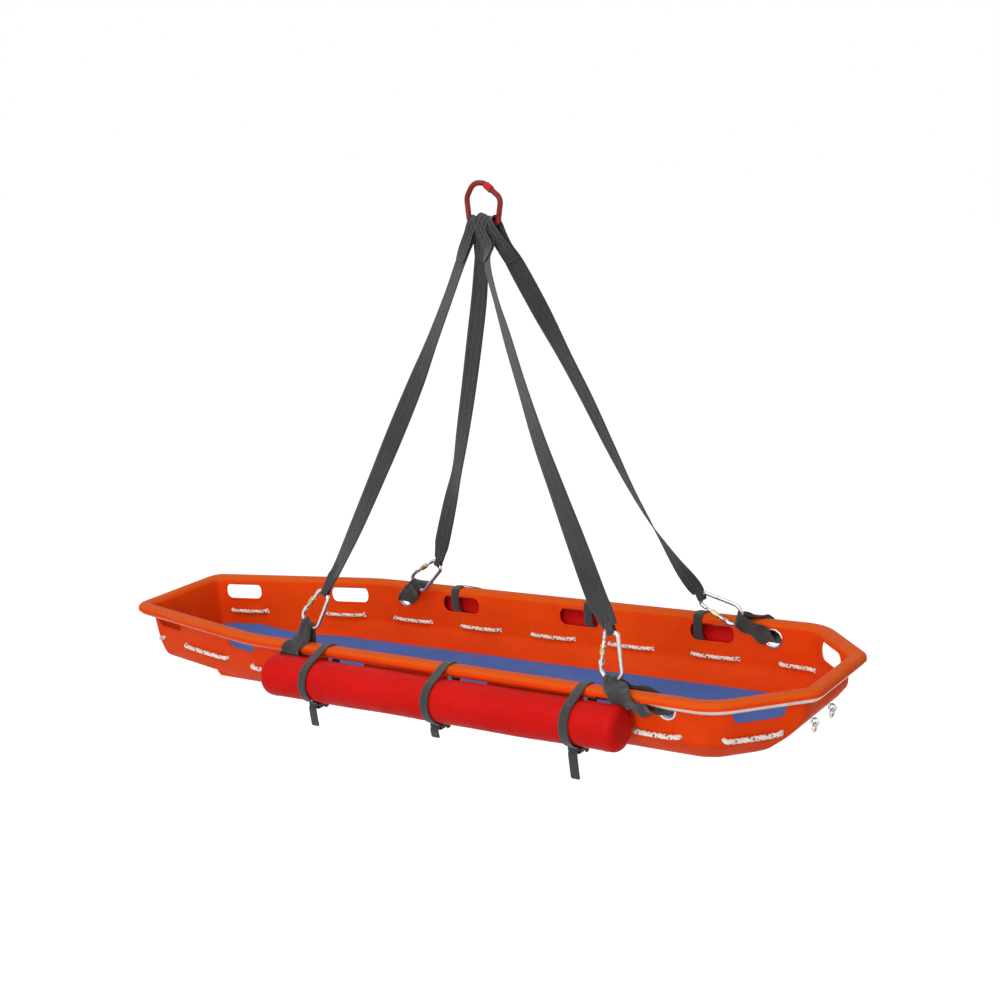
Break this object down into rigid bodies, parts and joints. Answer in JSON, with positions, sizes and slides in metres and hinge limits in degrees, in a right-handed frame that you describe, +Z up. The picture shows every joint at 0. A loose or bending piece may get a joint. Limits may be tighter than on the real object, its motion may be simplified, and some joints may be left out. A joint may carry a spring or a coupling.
{
  "type": "basket stretcher",
  "caption": "Tapered plastic rescue basket with hand slots, side floats and a pad, hung from a webbing sling with carabiners and a lifting ring.",
  "frame": {"origin": "inside of the lifting ring's crown, where a hoist's hook bears", "axes": "+X to the basket's wide head end, +Y to the far side in the picture, +Z up"},
  "size_m": [2.1474, 0.78, 1.4403],
  "materials": {
    "shell": "satin moulded orange",
    "float": "satin red skin over foam",
    "pad": "matt blue cloth over foam",
    "webbing": "woven charcoal webbing",
    "rope": "twisted white cord",
    "rim_steel": "satin tube",
    "ring_red": "dark red anodised",
    "buckle": "black",
    "steel": "plated"
  },
  "bodies": {
    "ring": {"lifting_ring": "ring_red"},
    "basket": {"basket_shell": "shell", "far_float": "float", "far_foot_buckle_frame": "buckle", "far_foot_float_strap": "webbing", "far_head_buckle_frame": "buckle", "far_head_float_strap": "webbing", "far_lacing_rope": "rope", "far_middle_buckle_frame": "buckle", "far_middle_float_strap": "webbing", "far_tow_eye_bolt": "steel", "far_tow_nut": "steel", "foot_far_anchor_loop": "webbing", "foot_far_carabiner_body": "steel", "foot_far_eyelet": "steel", "foot_far_sling_leg": "webbing", "foot_near_anchor_loop": "webbing", "foot_near_carabiner_body": "steel", "foot_near_eyelet": "steel", "foot_near_sling_leg": "webbing", "head_far_anchor_loop": "webbing", "head_far_carabiner_body": "steel", "head_far_eyelet": "steel", "head_far_sling_leg": "webbing", "head_near_anchor_loop": "webbing", "head_near_carabiner_body": "steel", "head_near_eyelet": "steel", "head_near_sling_leg": "webbing", "near_float": "float", "near_foot_buckle_frame": "buckle", "near_foot_float_strap": "webbing", "near_head_buckle_frame": "buckle", "near_head_float_strap": "webbing", "near_lacing_rope": "rope", "near_middle_buckle_frame": "buckle", "near_middle_float_strap": "webbing", "near_tow_eye_bolt": "steel", "near_tow_nut": "steel", "rim_tube": "rim_steel"},
    "nut": {"ring_nut": "ring_red"},
    "pad_body": {"pad": "pad"},
    "foot_near_gate_body": {"foot_near_gate": "steel"},
    "foot_near_sleeve_body": {"foot_near_gate_sleeve": "steel"},
    "foot_far_gate_body": {"foot_far_gate": "steel"},
    "foot_far_sleeve_body": {"foot_far_gate_sleeve": "steel"},
    "head_near_gate_body": {"head_near_gate": "steel"},
    "head_near_sleeve_body": {"head_near_gate_sleeve": "steel"},
    "head_far_gate_body": {"head_far_gate": "steel"},
    "head_far_sleeve_body": {"head_far_gate_sleeve": "steel"},
    "near_foot_buckle_lever_body": {"near_foot_buckle_lever": "buckle"},
    "near_middle_buckle_lever_body": {"near_middle_buckle_lever": "buckle"},
    "near_head_buckle_lever_body": {"near_head_buckle_lever": "buckle"},
    "far_foot_buckle_lever_body": {"far_foot_buckle_lever": "buckle"},
    "far_middle_buckle_lever_body": {"far_middle_buckle_lever": "buckle"},
    "far_head_buckle_lever_body": {"far_head_buckle_lever": "buckle"},
    "near_tow_ring_body": {"near_tow_ring": "steel"},
    "far_tow_ring_body": {"far_tow_ring": "steel"}
  },
  "joints": [
    {"name": "basket_swing", "type": "hinge", "parent": "ring", "child": "basket", "pos_m": [0, 0, -0.0878], "axis": [1, 0, 0], "range_deg": [-15, 15]},
    {"name": "nut_travel", "type": "slide", "parent": "ring", "child": "nut", "axis": [0.834, 0, -0.5518], "range_m": [0, 0.018]},
    {"name": "pad_lift", "type": "slide", "parent": "basket", "child": "pad_body", "axis": [-0.113, 0, 0.9936], "range_m": [0, 0.1]},
    {"name": "foot_near_gate_swing", "type": "hinge", "parent": "basket", "child": "foot_near_gate_body", "pos_m": [-0.38206, -0.262, -1.08267], "axis": [0, 1, 0], "range_deg": [0, 22], "stiffness_Nm_per_rad": 0.04, "springref_deg": -34.38},
    {"name": "foot_near_sleeve_travel", "type": "slide", "parent": "foot_near_gate_body", "child": "foot_near_sleeve_body", "axis": [0.6341, 0, 0.7733], "range_m": [-0.008, 0.008]},
    {"name": "foot_far_gate_swing", "type": "hinge", "parent": "basket", "child": "foot_far_gate_body", "pos_m": [-0.40087, 0.23297, -1.12745], "axis": [0, 1, 0], "range_deg": [0, 22], "stiffness_Nm_per_rad": 0.04, "springref_deg": -34.38},
    {"name": "foot_far_sleeve_travel", "type": "slide", "parent": "foot_far_gate_body", "child": "foot_far_sleeve_body", "axis": [0.8033, 0, 0.5956], "range_m": [-0.008, 0.008]},
    {"name": "head_near_gate_swing", "type": "hinge", "parent": "basket", "child": "head_near_gate_body", "pos_m": [0.52143, -0.272, -1.0172], "axis": [0, 1, 0], "range_deg": [0, 22], "stiffness_Nm_per_rad": 0.04, "springref_deg": -34.38},
    {"name": "head_near_sleeve_travel", "type": "slide", "parent": "head_near_gate_body", "child": "head_near_sleeve_body", "axis": [0.1026, 0, 0.9947], "range_m": [-0.008, 0.008]},
    {"name": "head_far_gate_swing", "type": "hinge", "parent": "basket", "child": "head_far_gate_body", "pos_m": [0.57231, 0.23795, -1.06641], "axis": [0, 1, 0], "range_deg": [0, 22], "stiffness_Nm_per_rad": 0.04, "springref_deg": -34.38},
    {"name": "head_far_sleeve_travel", "type": "slide", "parent": "head_far_gate_body", "child": "head_far_sleeve_body", "axis": [-0.9176, 0, 0.3975], "range_m": [-0.008, 0.008]},
    {"name": "near_foot_buckle_lever_swing", "type": "hinge", "parent": "basket", "child": "near_foot_buckle_lever_body", "pos_m": [-0.28854, -0.322, -1.31146], "axis": [0.9936, 0, 0.113], "range_deg": [0, 70], "stiffness_Nm_per_rad": 0.02, "springref_deg": -34.38},
    {"name": "near_middle_buckle_lever_swing", "type": "hinge", "parent": "basket", "child": "near_middle_buckle_lever_body", "pos_m": [0.10393, -0.322, -1.26681], "axis": [0.9936, 0, 0.113], "range_deg": [0, 70], "stiffness_Nm_per_rad": 0.02, "springref_deg": -34.38},
    {"name": "near_head_buckle_lever_swing", "type": "hinge", "parent": "basket", "child": "near_head_buckle_lever_body", "pos_m": [0.50037, -0.322, -1.22171], "axis": [0.9936, 0, 0.113], "range_deg": [0, 70], "stiffness_Nm_per_rad": 0.02, "springref_deg": -34.38},
    {"name": "far_foot_buckle_lever_swing", "type": "hinge", "parent": "basket", "child": "far_foot_buckle_lever_body", "pos_m": [-0.26966, 0.322, -1.30931], "axis": [-0.9936, 0, -0.113], "range_deg": [0, 70], "stiffness_Nm_per_rad": 0.02, "springref_deg": -34.38},
    {"name": "far_middle_buckle_lever_swing", "type": "hinge", "parent": "basket", "child": "far_middle_buckle_lever_body", "pos_m": [0.17149, 0.322, -1.25912], "axis": [-0.9936, 0, -0.113], "range_deg": [0, 70], "stiffness_Nm_per_rad": 0.02, "springref_deg": -34.38},
    {"name": "far_head_buckle_lever_swing", "type": "hinge", "parent": "basket", "child": "far_head_buckle_lever_body", "pos_m": [0.50037, 0.322, -1.22171], "axis": [-0.9936, 0, -0.113], "range_deg": [0, 70], "stiffness_Nm_per_rad": 0.02, "springref_deg": -34.38},
    {"name": "near_tow_ring_swing", "type": "hinge", "parent": "basket", "child": "near_tow_ring_body", "pos_m": [0.95238, -0.048, -1.14266], "axis": [0, 1, 0], "range_deg": [-30, 30]},
    {"name": "far_tow_ring_swing", "type": "hinge", "parent": "basket", "child": "far_tow_ring_body", "pos_m": [0.95238, 0.048, -1.14266], "axis": [0, 1, 0], "range_deg": [-30, 30]}
  ]
}
